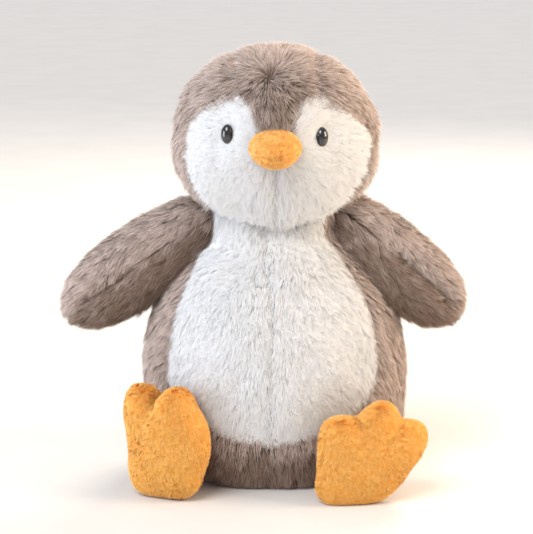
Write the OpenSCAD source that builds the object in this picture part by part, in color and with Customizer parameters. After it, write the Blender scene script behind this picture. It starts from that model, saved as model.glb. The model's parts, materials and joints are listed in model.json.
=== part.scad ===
// Plush penguin, sitting, with its wings held out and its soles facing forward.
// Millimetres. +Z is up, the front faces -Y, and the origin is the middle of the seat on the floor.
// Left and right are the penguin's own: left is +X.
// A sewn pair of panels is modelled as two thin shells round a core of stuffing.

/* [Torso] */
// Half of the width of the torso at its widest, in the belly
belly_half_w = 72; // [64:0.5:78]
// Height of the widest level of the torso
belly_level = 57; // [48:1:66]
// Half of the width of the flat seat
seat_half_w = 57; // [50:0.5:60]
// Half of the width of the torso at the top, under the head
neck_half_w = 40; // [36:0.5:44]
// Height of the top of the torso
torso_top = 131; // [126:0.5:131]
// Front-to-back size of the torso as a share of its width
torso_depth_share = 0.85; // [0.75:0.01:0.88]
// Height of the lowest point of the white belly
bib_low = 30; // [18:1:34]
// Height at which the white belly is widest
bib_level = 70; // [60:1:80]
// Angle from the middle of the front to the edge of the white belly
bib_half_angle = 54; // [44:1:62]

/* [Head] */
// Half of the width of the head
head_half_w = 55; // [50:0.5:58]
// Radius of the head seen from the side
head_radius = 48.5; // [45:0.5:50]
// Height of the middle of the head
head_level = 187; // [185.5:0.5:190]
// How far the middle of the head lies in front of the middle of the seat
head_forward = 4; // [0:0.5:8]
// Radius of the round end of the neck
neck_radius = 21; // [18:0.5:21.5]
// Height of the middle of the neck's round end
neck_level = 143; // [141:0.5:145]
// Angle from the middle of the face out to the edge of the white face
face_half_angle = 61; // [52:1:66]
// Half of the angle across the grey gusset over the crown
gusset_half_angle = 16; // [12:0.5:20]

/* [Face] */
// Width of an eye
eye_w = 7; // [5:0.1:9]
// Height of an eye
eye_h = 10; // [8:0.1:12]
// Depth of an eye's dome
eye_depth = 3; // [2:0.1:4]
// Distance from the middle of the face to an eye
eye_spread = 26; // [22:0.5:30]
// Height of the eyes above the middle of the head
eye_rise = 5; // [0:0.5:10]
// Diameter of an eye's shank
shank_d = 4; // [3:0.1:5]
// Length of an eye's shank
shank_len = 15; // [12:0.5:18]
// Diameter of the lock washer on the shank
washer_d = 13; // [10:0.5:16]
// Half of the width of the beak
beak_half_w = 14; // [12:0.5:16]
// How far the beak stands out of the face
beak_len = 16; // [12:0.5:20]
// Half of the height of the beak
beak_half_h = 10.5; // [8:0.5:12]
// How far the beak lies below the middle of the head
beak_drop = 3.5; // [0:0.5:5]

/* [Wings] */
// Distance from the middle of the right wing to its tip
wing_right_half_len = 43; // [38:0.5:44]
// Distance from the middle of the left wing to its tip
wing_left_half_len = 41; // [38:0.5:44]
// Half of the width of a wing
wing_half_w = 21; // [18:0.5:23]
// Half of the thickness of a wing
wing_half_t = 9; // [7:0.5:10]
// Slope of the right wing below level
wing_right_slope = 36; // [30:1:42]
// Slope of the left wing below level
wing_left_slope = 40; // [34:1:44]
// Distance from the middle of the torso to the middle of the right wing
wing_right_out = 76; // [75:0.5:80]
// Distance from the middle of the torso to the middle of the left wing
wing_left_out = 70; // [69:0.5:78]
// Height of the middle of a wing
wing_level = 113; // [111:0.5:116]

/* [Feet] */
// Height of a foot from heel to toes
foot_len = 60; // [52:0.5:62]
// Half of the width of a foot across its toes
foot_half_w = 28; // [22:0.5:29]
// Half of the thickness of a foot
foot_half_t = 13; // [10:0.5:13.5]
// How deep the dips between the toes are
toe_dip = 2.6; // [1:0.1:4]
// Distance from the middle to the right foot
foot_right_out = 57; // [54:0.5:60]
// Distance from the middle to the left foot
foot_left_out = 51; // [47:0.5:54]
// Outward lean of the right foot
foot_right_lean = -4; // [-8:1:4]
// Outward lean of the left foot
foot_left_lean = 27; // [14:1:30]
// Outward turn of the right foot's sole
foot_right_turn = 28; // [10:1:34]
// Outward turn of the left foot's sole
foot_left_turn = 5; // [0:1:15]

/* [Fabric] */
// Thickness of the plush fabric's backing and dense base of the pile
cloth = 2.6; // [1:0.1:2.8]
// Gap between a panel and what it touches
seam_gap = 0.2; // [0.1:0.05:0.3]

/* [Hidden] */
// Curved panels are grids of this many cells across and along.
CELLS = 10;
RING_POINTS = 36;
CORE_RINGS = 12;
SMOOTH = 96;
RIGHT = -1;
LEFT = 1;
GREY = [0.62, 0.56, 0.53];
WHITE = [0.95, 0.94, 0.92];
ORANGE = [0.96, 0.62, 0.25];
BLACK = [0.05, 0.05, 0.06];
FIBRE = [0.9, 0.9, 0.88];
PELLET = [0.8, 0.82, 0.85];

// Torso
rim_level = 1;
pellet_low = cloth + 0.6;
pellet_top = 24;
core_bottom = pellet_top + seam_gap;
torso_core_gap = 2;
pellet_core_gap = 4;
front_seam_angle = 0.5;
base_share = 0.96;

// Head: a solid of revolution about the X axis.
// side is the angle out from the middle plane, roll the angle up from straight ahead and over the crown.
head_centre = [0, -head_forward, head_level];
face_low_roll = -56;
face_top_roll = 31;
face_mid_roll = -9;
face_rise_roll = 48;
face_fall_roll = 60;
peak_low_roll = 4;
seam_top_roll = -6;
peak_half_angle = 11;
peak_roll = 26;
nape_roll = 236;
neck_side_angle = 38;
under_roll = -88;
ear_angle = 89.2;
head_core_gap = 2;
hood_rows = 24;

// Eyes
eye_side_angle = asin(eye_spread / head_half_w);
eye_roll = asin(eye_rise / (head_radius * cos(eye_side_angle)));
eye_seat = 0.5;
eye_turn = 25;
eye_tip = 6;
washer_t = 1.6;
washer_back = cloth + 1.2;
bore_slack = 0.1;

// Beak
beak_back_y = -head_forward - head_radius - 0.8;
beak_roll = 88;
beak_core_roll = 82;
beak_core_gap = 0.5;
beak_side = 84;
lip_half_angle = 0.5;

// Wings: each is sewn on along a straight hinge line just outside the torso's side.
wing_forward = 10;
wing_fullness = 2.2;
hinge_point = [56.2, -wing_forward, 112];
hinge_normal_rise = 31.7;
root_gap = 1.2;
pillow_core_gap = 0.7;

// Feet
foot_left_forward = 70;
foot_right_forward = 61;
foot_rise = 30;
foot_tilt = -7;
toe_spread = 50;

label_w = 12;
label_len = 14;
label_t = 0.8;
label_gap = 1.2;

// ---- Closed solids from grids of points ----

function mix(a, b, t) = a + (b - a) * t;

function between(x, low, high) = min(max(x, low), high);

// The corners of a grid's border, in order round it, as indices into its points.
function border(rows, cols) = concat(
    [for (c = [0 : cols - 2]) c],
    [for (r = [0 : rows - 2]) r * cols + cols - 1],
    [for (c = [cols - 1 : -1 : 1]) (rows - 1) * cols + c],
    [for (r = [rows - 1 : -1 : 1]) r * cols]
);

function flip(faces) = [for (f = faces) [f[0], f[2], f[1]]];

// Two triangles for each cell of a grid whose first point has the index start.
function cell_faces(rows, cols, start) = [
    for (r = [0 : rows - 2], c = [0 : cols - 2], half = [0, 1])
        let (a = start + r * cols + c, b = a + 1, d = a + cols, e = d + 1)
            half == 0 ? [a, e, b] : [a, d, e]
];

// The closed solid between two grids of the same size, which are lists of rows of points.
// Seen from outside the first grid, its rows go up and its columns go to the right.
module slab(outer, inner) {
    rows = len(outer);
    cols = len(outer[0]);
    count = rows * cols;
    edge = border(rows, cols);
    points = concat([for (row = outer, p = row) p], [for (row = inner, p = row) p]);
    rim = [
        for (i = [0 : len(edge) - 1], half = [0, 1])
            let (a = edge[i], b = edge[(i + 1) % len(edge)])
                half == 0 ? [a, b, b + count] : [a, b + count, a + count]
    ];
    polyhedron(points, concat(cell_faces(rows, cols, 0), flip(cell_faces(rows, cols, count)), rim));
}

// The closed solid through a stack of rings with the same number of points, lowest first.
module stack(rings) {
    n = len(rings[0]);
    top = len(rings) - 1;
    sides = [
        for (k = [0 : top - 1], i = [0 : n - 1], half = [0, 1])
            let (a = k * n + i, b = k * n + (i + 1) % n)
                half == 0 ? [a, b + n, b] : [a, a + n, b + n]
    ];
    low_cap = [for (i = [0 : n - 1]) i];
    high_cap = [for (i = [n - 1 : -1 : 0]) top * n + i];
    polyhedron([for (ring = rings, p = ring) p], concat(sides, [low_cap, high_cap]));
}

// ---- Torso ----

// How much of the belly's extra width is left, this share of the way up to the neck.
function slope_share(t) = pow(1 - pow(between(t, 0, 1), 2), 0.9);

// Half of the torso's width at a height: a quarter ellipse up to the belly, then a slope up to the neck.
function torso_half_w(z) =
    z < belly_level
        ? mix(seat_half_w, belly_half_w, sqrt(1 - pow(1 - z / belly_level, 2)))
        : mix(neck_half_w, belly_half_w, slope_share((z - belly_level) / (torso_top - belly_level)));

// A point on the torso, at an angle from the middle of the front, this far inside its skin.
function torso_point(angle, z, inset) =
    let (w = torso_half_w(z) - inset, d = torso_half_w(z) * torso_depth_share - inset)
        [w * sin(angle), -d * cos(angle), z];

// Angle from the middle of the front to the edge of the white belly, at a height.
function bib_edge(z) =
    let (below = between((bib_level - z) / (bib_level - bib_low), 0, 1))
        max(front_seam_angle, bib_half_angle * sqrt(1 - pow(below, 2)));

module torso_ring_solid(low, high, inset) {
    stack([
        for (k = [0 : CORE_RINGS])
            [
                for (i = [0 : RING_POINTS - 1])
                    torso_point(-360 * i / RING_POINTS, mix(low, high, k / CORE_RINGS), inset)
            ]
    ]);
}

// Levels of the rows of points: closer together near the lowest point of the white belly.
bib_levels = [for (r = [0 : CELLS]) mix(bib_low, torso_top, pow(r / CELLS, 1.6))];
below_levels = [for (r = [0 : 2]) mix(rim_level, bib_low, r / 3)];

// Angles from the edge at near to the edge at far, in the order that keeps a panel's outside out.
function across(side, near, far) = [
    for (c = [0 : CELLS])
        side * (side == LEFT ? mix(near, far, c / CELLS) : mix(far, near, c / CELLS))
];

function torso_grid(side, near, far, levels, inset) = [
    for (z = levels)
        [for (angle = across(side, near(z), far(z))) torso_point(angle, z, inset)]
];

module back_panel(side) {
    near = function(z) bib_edge(z);
    far = function(z) 180 - front_seam_angle;
    levels = concat(below_levels, bib_levels);
    color(GREY)
        slab(torso_grid(side, near, far, levels, 0), torso_grid(side, near, far, levels, cloth));
}

module belly_panel(side) {
    near = function(z) front_seam_angle / 2;
    far = function(z) bib_edge(z) - front_seam_angle / 4;
    color(WHITE)
        slab(torso_grid(side, near, far, bib_levels, 0), torso_grid(side, near, far, bib_levels, cloth));
}

module base_panel() {
    color(GREY)
        linear_extrude(cloth)
            polygon([
                for (i = [0 : RING_POINTS - 1])
                    let (a = 360 * i / RING_POINTS)
                        seat_half_w * base_share * [sin(a), -torso_depth_share * cos(a)]
            ]);
}

module torso_stuffing() {
    color(FIBRE)
        torso_ring_solid(core_bottom, torso_top - seam_gap, cloth + torso_core_gap);
}

module pellet_pouch() {
    color(PELLET)
        torso_ring_solid(pellet_low, pellet_top, cloth + pellet_core_gap);
}

// A blank loop of ribbon sewn into the back of the seat's seam.
module care_label() {
    color(WHITE)
        translate([-label_w / 2, torso_half_w(rim_level) * torso_depth_share + label_gap, rim_level])
            cube([label_w, label_len, label_t]);
}

// ---- Neck ----

// The stuffed neck: a ball that the head sits over, cut flat where it stands on the torso.
module neck_stuffing() {
    color(FIBRE)
        intersection() {
            translate([0, 0, neck_level])
                sphere(neck_radius, $fn = SMOOTH);
            translate([0, 0, torso_top + seam_gap])
                cylinder(r = neck_radius * 2, h = neck_radius * 2);
        }
}

// ---- Head ----

function head_point(side_angle, roll, inset) =
    let (r = (head_radius - inset) * cos(side_angle))
        head_centre + [(head_half_w - inset) * sin(side_angle), -r * cos(roll), r * sin(roll)];

// Outer edge of the white face at a roll.
function face_edge(roll) =
    let (reach = roll > face_mid_roll ? face_rise_roll : face_fall_roll)
        face_half_angle * sqrt(1 - pow((roll - face_mid_roll) / reach, 2));

// Edge of the grey gusset, which narrows to a peak between the eyes.
function gusset_edge(roll) =
    let (widening = between((roll - peak_low_roll) / (peak_roll - peak_low_roll), 0, 1))
        mix(peak_half_angle, gusset_half_angle, widening);

// Inner edge of the white face: the middle seam under the beak, and the peak above it.
function face_inner_edge(roll) =
    let (parting = between((roll - seam_top_roll) / (peak_low_roll - seam_top_roll), 0, 1))
        mix(front_seam_angle, gusset_edge(roll) + front_seam_angle, parting);

function head_grid(side, near, far, low_roll, high_roll, rows, inset) = [
    for (r = [0 : rows])
        let (roll = mix(low_roll, high_roll, r / rows))
            [for (angle = across(side, near(roll), far(roll))) head_point(angle, roll, inset)]
];

module head_panel(side, near, far, low_roll, high_roll, rows) {
    slab(
        head_grid(side, near, far, low_roll, high_roll, rows, 0),
        head_grid(side, near, far, low_roll, high_roll, rows, cloth)
    );
}

module crown_gusset() {
    near = function(roll) -gusset_edge(roll);
    far = function(roll) gusset_edge(roll);
    color(GREY)
        head_panel(LEFT, near, far, peak_low_roll, nape_roll, 2 * CELLS);
}

module hood_panel(side) {
    near = function(roll)
        roll < face_low_roll || roll > nape_roll ? neck_side_angle
        : (roll < face_top_roll ? face_edge(roll) : gusset_edge(roll)) + front_seam_angle;
    far = function(roll) ear_angle;
    color(GREY)
        head_panel(side, near, far, under_roll, 180 - under_roll, hood_rows);
}

module face_panel(side) {
    near = function(roll) face_inner_edge(roll);
    far = function(roll) max(face_edge(roll), face_inner_edge(roll) + 2);
    color(WHITE)
        difference() {
            head_panel(side, near, far, face_low_roll, face_top_roll, CELLS);
            at_eye(side)
                along_shank(-2)
                    cylinder(d = shank_d + 2 * bore_slack, h = shank_len + 2, $fn = SMOOTH);
        }
}

// The head's filling, hollowed for the ball of the neck and for each eye's shank and washer.
module head_stuffing() {
    inset = cloth + head_core_gap;
    half_profile = [
        for (i = [0 : 24])
            let (a = -90 + 7.5 * i)
                [(head_radius - inset) * cos(a), (head_half_w - inset) * sin(a)]
    ];
    color(FIBRE)
        difference() {
            translate(head_centre)
                rotate([0, 90, 0])
                    rotate_extrude($fn = SMOOTH)
                        polygon(half_profile);
            translate([0, 0, neck_level])
                sphere(neck_radius + 2 * seam_gap, $fn = SMOOTH);
            for (side = [RIGHT, LEFT])
                at_eye(side)
                    along_shank(0)
                        cylinder(d = washer_d + 1, h = shank_len + 1, $fn = SMOOTH);
        }
}

// ---- Eyes ----

// Places a child at an eye: its origin on the head's skin, its -Y axis pointing out.
module at_eye(side) {
    translate(head_point(side * eye_side_angle, eye_roll, 0))
        rotate([0, 0, side * eye_turn])
            rotate([-eye_tip, 0, 0])
                children();
}

// Turns a cylinder's axis inward along the shank, starting this far inside the skin.
module along_shank(start) {
    translate([0, start, 0])
        rotate([-90, 0, 0])
            children();
}

// An oval glossy eye with its shank, in one moulding.
module eye(side) {
    color(BLACK)
        at_eye(side) {
            translate([0, -eye_seat, 0])
                intersection() {
                    scale([eye_w / eye_h, 2 * eye_depth / eye_h, 1])
                        sphere(d = eye_h, $fn = SMOOTH);
                    translate([-eye_h, -eye_h, -eye_h])
                        cube([2 * eye_h, eye_h, 2 * eye_h]);
                }
            along_shank(-2 * eye_seat)
                cylinder(d = shank_d, h = shank_len, $fn = SMOOTH);
        }
}

module eye_washer(side) {
    color(FIBRE)
        at_eye(side)
            along_shank(washer_back)
                difference() {
                    cylinder(d = washer_d, h = washer_t, $fn = SMOOTH);
                    translate([0, 0, -1])
                        cylinder(d = shank_d + bore_slack, h = washer_t + 2, $fn = SMOOTH);
                }
}

// ---- Beak ----

function beak_point(side_angle, roll, inset) =
    let (
        reach = (beak_len - inset) * cos(side_angle) * cos(roll),
        rise = (beak_half_h - inset) * cos(side_angle) * sin(roll)
    )
    [(beak_half_w - inset) * sin(side_angle), beak_back_y - reach, head_level - beak_drop + rise];

function beak_grid(low_roll, high_roll, inset) = [
    for (r = [0 : CELLS])
        let (roll = mix(low_roll, high_roll, r / CELLS))
            [for (c = [0 : CELLS]) beak_point(mix(-beak_side, beak_side, c / CELLS), roll, inset)]
];

module beak_panel(low_roll, high_roll) {
    color(ORANGE)
        slab(beak_grid(low_roll, high_roll, 0), beak_grid(low_roll, high_roll, cloth));
}

module beak_stuffing() {
    front = beak_grid(-beak_core_roll, beak_core_roll, cloth + beak_core_gap);
    color(FIBRE)
        slab(front, [for (row = front) [for (p = row) [p[0], beak_back_y, p[2]]]]);
}

// ---- Pillows: wings and feet ----

// A pillow's outline is a function from an angle to its distance from the middle.
// u and v run from -1 to 1 over a square, which is eased into a disc and then out to the outline.
function pillow_point(outline, u, v, inset, half_t, lift) =
    let (
        x = u * sqrt(1 - v * v / 2),
        y = v * sqrt(1 - u * u / 2),
        rho = min(1, norm([x, y])),
        angle = atan2(x, y),
        r = (outline(angle) - inset) * rho
    )
    [r * sin(angle), lift + half_t * sqrt(1 - rho * rho), r * cos(angle)];

function pillow_grid(outline, front, inset, half_t, lift) = [
    for (r = [0 : CELLS])
        [
            for (c = [0 : CELLS])
                let (
                    u = (front ? 1 : -1) * (2 * c / CELLS - 1),
                    p = pillow_point(outline, u, 2 * r / CELLS - 1, inset, half_t, lift)
                )
                [p[0], front ? -p[1] : p[1], p[2]]
        ]
];

module pillow_panel(outline, half_t, front) {
    slab(
        pillow_grid(outline, front, 0, half_t, seam_gap / 2),
        pillow_grid(outline, front, cloth, half_t - cloth, seam_gap / 2)
    );
}

module pillow_stuffing(outline, half_t) {
    inset = cloth + pillow_core_gap;
    front = pillow_grid(outline, true, inset, half_t - inset - seam_gap, seam_gap);
    slab(front, [for (row = front) [for (p = row) [p[0], -p[1], p[2]]]]);
}

// ---- Wings ----

// An oval, slightly fuller than an ellipse, cut straight along its sewn edge.
// Its long axis points out to the tip, at an angle of 90.
function wing_outline(side) = function(angle)
    let (
        along = pow(abs(sin(angle)) / wing_half_len(side), wing_fullness),
        across = pow(abs(cos(angle)) / wing_half_w, wing_fullness),
        oval = 1 / pow(along + across, 1 / wing_fullness),
        towards_root = cos(angle + 90 + hinge_normal_rise + wing_slope(side))
    )
    towards_root > 0.01 ? min(oval, root_distance(side) / towards_root) : oval;

function wing_half_len(side) = side == LEFT ? wing_left_half_len : wing_right_half_len;

function wing_slope(side) = side == LEFT ? wing_left_slope : wing_right_slope;

function wing_out(side) = side == LEFT ? wing_left_out : wing_right_out;

// Distance from the middle of a wing in to its sewn edge.
function root_distance(side) =
    (wing_out(side) - hinge_point[0]) * cos(hinge_normal_rise)
        + (wing_level - hinge_point[2]) * sin(hinge_normal_rise) - root_gap;

module at_wing(side) {
    mirror([side == RIGHT ? 1 : 0, 0, 0])
        translate([wing_out(side), -wing_forward, wing_level])
            rotate([0, wing_slope(side), 0])
                children();
}

module wing_panel(side, front) {
    color(GREY)
        at_wing(side)
            pillow_panel(wing_outline(side), wing_half_t, front);
}

module wing_stuffing(side) {
    color(FIBRE)
        at_wing(side)
            pillow_stuffing(wing_outline(side), wing_half_t);
}

// ---- Feet ----

// Wide across the toes, narrower at the heel, with a dip between each two of the three toes.
foot_outline = function(angle)
    let (
        up = (1 + cos(angle)) / 2,
        across = mix(foot_half_w * 0.72, foot_half_w, up),
        along = foot_len / 2,
        oval = 1 / sqrt(pow(sin(angle) / across, 2) + pow(cos(angle) / along, 2)),
        toes = between((1.5 * toe_spread - abs(angle)) / toe_spread, 0, 1)
    )
    oval - toe_dip * toes * (1 - cos(360 * angle / toe_spread)) / 2;

function foot_out(side) = side == LEFT ? foot_left_out : foot_right_out;

function foot_lean(side) = side == LEFT ? foot_left_lean : foot_right_lean;

function foot_turn(side) = side == LEFT ? foot_left_turn : foot_right_turn;

function foot_forward(side) = side == LEFT ? foot_left_forward : foot_right_forward;

module at_foot(side) {
    translate([side * foot_out(side), -foot_forward(side), foot_rise])
        rotate([0, 0, side * foot_turn(side)])
            rotate([foot_tilt, side * foot_lean(side), 0])
                children();
}

module foot_sole(side) {
    color(ORANGE)
        at_foot(side)
            pillow_panel(foot_outline, foot_half_t, true);
}

module foot_upper(side) {
    color(ORANGE)
        at_foot(side)
            pillow_panel(foot_outline, foot_half_t, false);
}

module foot_stuffing(side) {
    color(FIBRE)
        at_foot(side)
            pillow_stuffing(foot_outline, foot_half_t);
}

// ---- Assembly ----

base_panel();
back_panel(LEFT);  // back_panel_left
back_panel(RIGHT);  // back_panel_right
belly_panel(LEFT);  // belly_panel_left
belly_panel(RIGHT);  // belly_panel_right
torso_stuffing();
pellet_pouch();
care_label();
neck_stuffing();
crown_gusset();
hood_panel(LEFT);  // hood_panel_left
hood_panel(RIGHT);  // hood_panel_right
face_panel(LEFT);  // face_panel_left
face_panel(RIGHT);  // face_panel_right
head_stuffing();
beak_panel(lip_half_angle, beak_roll);  // beak_upper
beak_panel(-beak_roll, -lip_half_angle);  // beak_lower
beak_stuffing();
eye(LEFT);  // eye_left
eye(RIGHT);  // eye_right
eye_washer(LEFT);  // eye_washer_left
eye_washer(RIGHT);  // eye_washer_right
wing_panel(LEFT, true);  // wing_left_front
wing_panel(LEFT, false);  // wing_left_back
wing_stuffing(LEFT);  // wing_left_stuffing
wing_panel(RIGHT, true);  // wing_right_front
wing_panel(RIGHT, false);  // wing_right_back
wing_stuffing(RIGHT);  // wing_right_stuffing
foot_sole(LEFT);  // foot_left_sole
foot_upper(LEFT);  // foot_left_upper
foot_stuffing(LEFT);  // foot_left_stuffing
foot_sole(RIGHT);  // foot_right_sole
foot_upper(RIGHT);  // foot_right_upper
foot_stuffing(RIGHT);  // foot_right_stuffing
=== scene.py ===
"""Plush penguin: sewn panels with real blades of pile, glossy eyes, floor, lights and camera.

Lengths in this script are millimetres in the CAD frame, and become metres when a mesh is made.
Left and right are the penguin's own: left is +X. The front faces -Y.
"""
import json
import math
from typing import NamedTuple

import bpy
import numpy as np
from mathutils import Matrix, Vector, kdtree


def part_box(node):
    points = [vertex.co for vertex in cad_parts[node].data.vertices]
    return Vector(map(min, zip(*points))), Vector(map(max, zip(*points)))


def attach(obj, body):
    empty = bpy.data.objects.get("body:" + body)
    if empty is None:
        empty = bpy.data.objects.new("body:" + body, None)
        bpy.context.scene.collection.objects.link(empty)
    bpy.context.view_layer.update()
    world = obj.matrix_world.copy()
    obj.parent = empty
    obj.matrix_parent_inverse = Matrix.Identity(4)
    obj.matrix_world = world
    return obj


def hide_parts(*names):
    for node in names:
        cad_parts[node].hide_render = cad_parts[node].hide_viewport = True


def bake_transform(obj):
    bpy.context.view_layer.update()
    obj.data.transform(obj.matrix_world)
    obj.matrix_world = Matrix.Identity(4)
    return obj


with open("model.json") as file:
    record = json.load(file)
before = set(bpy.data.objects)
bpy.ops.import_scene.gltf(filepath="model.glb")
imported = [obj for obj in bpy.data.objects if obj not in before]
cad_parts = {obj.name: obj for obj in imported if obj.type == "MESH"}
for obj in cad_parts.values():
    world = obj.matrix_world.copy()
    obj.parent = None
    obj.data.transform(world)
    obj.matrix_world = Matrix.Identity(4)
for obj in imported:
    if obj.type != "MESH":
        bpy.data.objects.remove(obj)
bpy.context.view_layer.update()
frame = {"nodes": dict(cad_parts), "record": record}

MM = 0.001
RIGHT, LEFT = -1, 1
SIDES = {"right": RIGHT, "left": LEFT}
NO_QUADS = np.zeros((0, 4), int)
NO_TRIANGLES = np.zeros((0, 3), int)


# ---- Numbers and vectors ----

def mix(a, b, share):
    return a + (b - a) * share


def smooth(x, low, high):
    """0 below low, 1 above high, and an eased rise between them."""
    t = np.clip((x - low) / (high - low), 0, 1)
    return t * t * (3 - 2 * t)


def bump(distance, radius):
    """1 at no distance, falling smoothly to nothing at about twice the radius."""
    return np.exp(-(distance / radius) ** 2)


def unit(vectors):
    return vectors / np.maximum(np.linalg.norm(vectors, axis=-1, keepdims=True), 1e-9)


def rows_dot(a, b):
    return np.sum(a * b, axis=-1, keepdims=True)


def segment_distance(points, a, b):
    """Distance of each point from the straight stretch between two points."""
    a, b = np.array(a, float), np.array(b, float)
    t = np.clip(((points - a) @ (b - a)) / ((b - a) @ (b - a)), 0, 1)
    return np.linalg.norm(points - (a + t[..., None] * (b - a)), axis=-1)


def waves(points, size, seed, count=7):
    """Smooth noise from -1 to 1 whose lumps are about size across."""
    rng = np.random.default_rng(seed)
    total = np.zeros(points.shape[:-1])
    for _ in range(count):
        direction = unit(rng.normal(size=3)) * rng.uniform(0.7, 1.5) * math.pi / size
        total += np.sin(points @ direction + rng.uniform(0, 2 * math.pi))
    return total / math.sqrt(count * 2)


def turned(vectors, axes, angles):
    """Each vector turned about its own unit axis by its own angle in radians."""
    c, s = np.cos(angles)[:, None], np.sin(angles)[:, None]
    return vectors * c + np.cross(axes, vectors) * s + axes * rows_dot(axes, vectors) * (1 - c)


def add_object(name, data):
    """Puts a mesh, light or camera into the scene as a new object."""
    thing = bpy.data.objects.new(name, data)
    bpy.context.collection.objects.link(thing)
    return thing


# ---- Skins: the cloth of a piece, before its pile ----

class Skin:
    """Points, quads or triangles, outward normals, and what the pile needs at each point.

    flow is the way the pile is brushed, cover is 1 where it grows and 0 where it doesn't, length is
    a share of the pile's own length, and tone is darker below 0 and lighter above, where some skins set
    painted light and shade.
    """

    def __init__(self, points, faces, flow, cover=None, length=None, tone=None):
        self.points = points
        self.faces = faces
        self.normals = point_normals(points, faces)
        flow = np.broadcast_to(flow, points.shape)
        self.flow = unit(flow - self.normals * rows_dot(flow, self.normals))
        self.cover = np.ones(len(points)) if cover is None else cover
        self.length = np.ones(len(points)) if length is None else length
        self.tone = np.zeros(len(points)) if tone is None else tone


def triangles_of(faces):
    if faces.shape[1] == 3:
        return faces
    return np.concatenate([faces[:, [0, 1, 2]], faces[:, [0, 2, 3]]])


def point_normals(points, faces):
    tri = triangles_of(faces)
    a, b, c = points[tri[:, 0]], points[tri[:, 1]], points[tri[:, 2]]
    face_normals = np.cross(b - a, c - a)
    total = np.zeros_like(points)
    for corner in range(3):
        np.add.at(total, tri[:, corner], face_normals)
    return unit(total)


def grid_quads(rows, cols):
    start = (np.arange(rows - 1)[:, None] * cols + np.arange(cols - 1)).ravel()
    return np.stack([start, start + 1, start + cols + 1, start + cols], axis=1)


def edge_distance(points, axis):
    """How far each point of a grid is from the nearer of the grid's two ends along an axis."""
    steps = np.linalg.norm(np.diff(points, axis=axis), axis=-1)
    pad = [(0, 0), (0, 0)]
    pad[axis] = (1, 0)
    run = np.pad(np.cumsum(steps, axis=axis), pad)
    whole = np.take(run, [-1], axis=axis)
    return np.minimum(run, whole - run)


SEAM_DEPTH = 1.3    # how far the cloth dips at a seam
SEAM_REACH = 4.5    # how far the dip spreads beside the seam
TUCK = 4.0          # how deep the seam allowance is folded in


def panel(point_at, near, far, levels, cols, inset, centre, near_dip=1.0):
    """A sewn panel of a surface: its points, its quads facing out, and where its pile grows.

    The cloth dips towards the seams on its edges, by a share near_dip as much at its near edge.
    Its last row all round is the allowance that is folded in behind the seam.
    """
    near_edge = np.array([near(level) for level in levels])[:, None]
    far_edge = np.array([far(level) for level in levels])[:, None]
    share = np.linspace(0, 1, cols)[None, :]
    across = mix(near_edge, far_edge, share)
    along = np.repeat(np.array(levels)[:, None], cols, axis=1)
    flat = point_at(across, along, np.full_like(across, inset))
    seam = np.minimum(edge_distance(flat, 1), edge_distance(flat, 0))
    dip = SEAM_DEPTH * mix(near_dip, 1.0, smooth(share, 0.2, 0.5))
    depth = inset + dip * bump(seam, SEAM_REACH)
    across = np.pad(across, 1, mode="edge")
    along = np.pad(along, 1, mode="edge")
    depth = np.pad(depth, 1, mode="constant", constant_values=inset + TUCK)
    points = point_at(across, along, depth).reshape(-1, 3)
    faces = grid_quads(*across.shape)
    outward = rows_dot(point_normals(points, faces), points - np.array(centre))
    if outward.mean() < 0:
        faces = faces[:, ::-1]
    cover = np.pad(np.ones(seam.shape), 1).ravel()
    return points, faces, cover


# ---- Pile ----

class Pile(NamedTuple):
    """How a plush's blades grow: lengths in millimetres, angles in degrees from the skin's normal."""

    length: float
    width: float
    density: float       # blades in a square millimetre
    lean: float          # of a blade's lower half
    tip_lean: float      # of its upper half
    clump_size: float    # the distance between clumps
    clump: float         # share of the way that a tip is drawn to its clump's tip
    jitter: float        # how far single blades turn from the brushed direction
    swirl: float         # how far whole areas turn from it
    shine: float         # 0 shades a blade as the skin under it, 1 as its own flat side
    loft: float          # how far the lean varies
    mottle: float        # how far the tone varies from blade to blade


GREY_PILE = Pile(length=8.6, width=0.30, density=4.6, lean=43, tip_lean=74, clump_size=3.4, clump=0.16,
                 jitter=11, swirl=18, shine=0.35, loft=4, mottle=0.9)
WHITE_PILE = Pile(length=7.0, width=0.26, density=7.0, lean=48, tip_lean=77, clump_size=3.0, clump=0.1,
                  jitter=12, swirl=16, shine=0.0, loft=3.5, mottle=0.3)
ORANGE_PILE = Pile(length=2.1, width=0.25, density=13.0, lean=36, tip_lean=62, clump_size=1.5, clump=0.15,
                   jitter=30, swirl=35, shine=0.05, loft=6, mottle=1.6)
SEAT_PILE = Pile(length=2.5, width=0.5, density=2.0, lean=60, tip_lean=85, clump_size=2.5, clump=0.3,
                 jitter=30, swirl=40, shine=0.4, loft=5, mottle=1.0)

FLOOR_GAP = 0.3        # no blade reaches lower than this
MOST_BLADES = 60000    # on one piece
SEED_PER_PIECE = iter(range(100, 200))


def nearest(points, chosen):
    """For each point, the index into chosen of the nearest chosen point."""
    tree = kdtree.KDTree(len(chosen))
    for i, index in enumerate(chosen):
        tree.insert(points[index], i)
    tree.balance()
    return np.array([tree.find(p)[1] for p in points])


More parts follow.
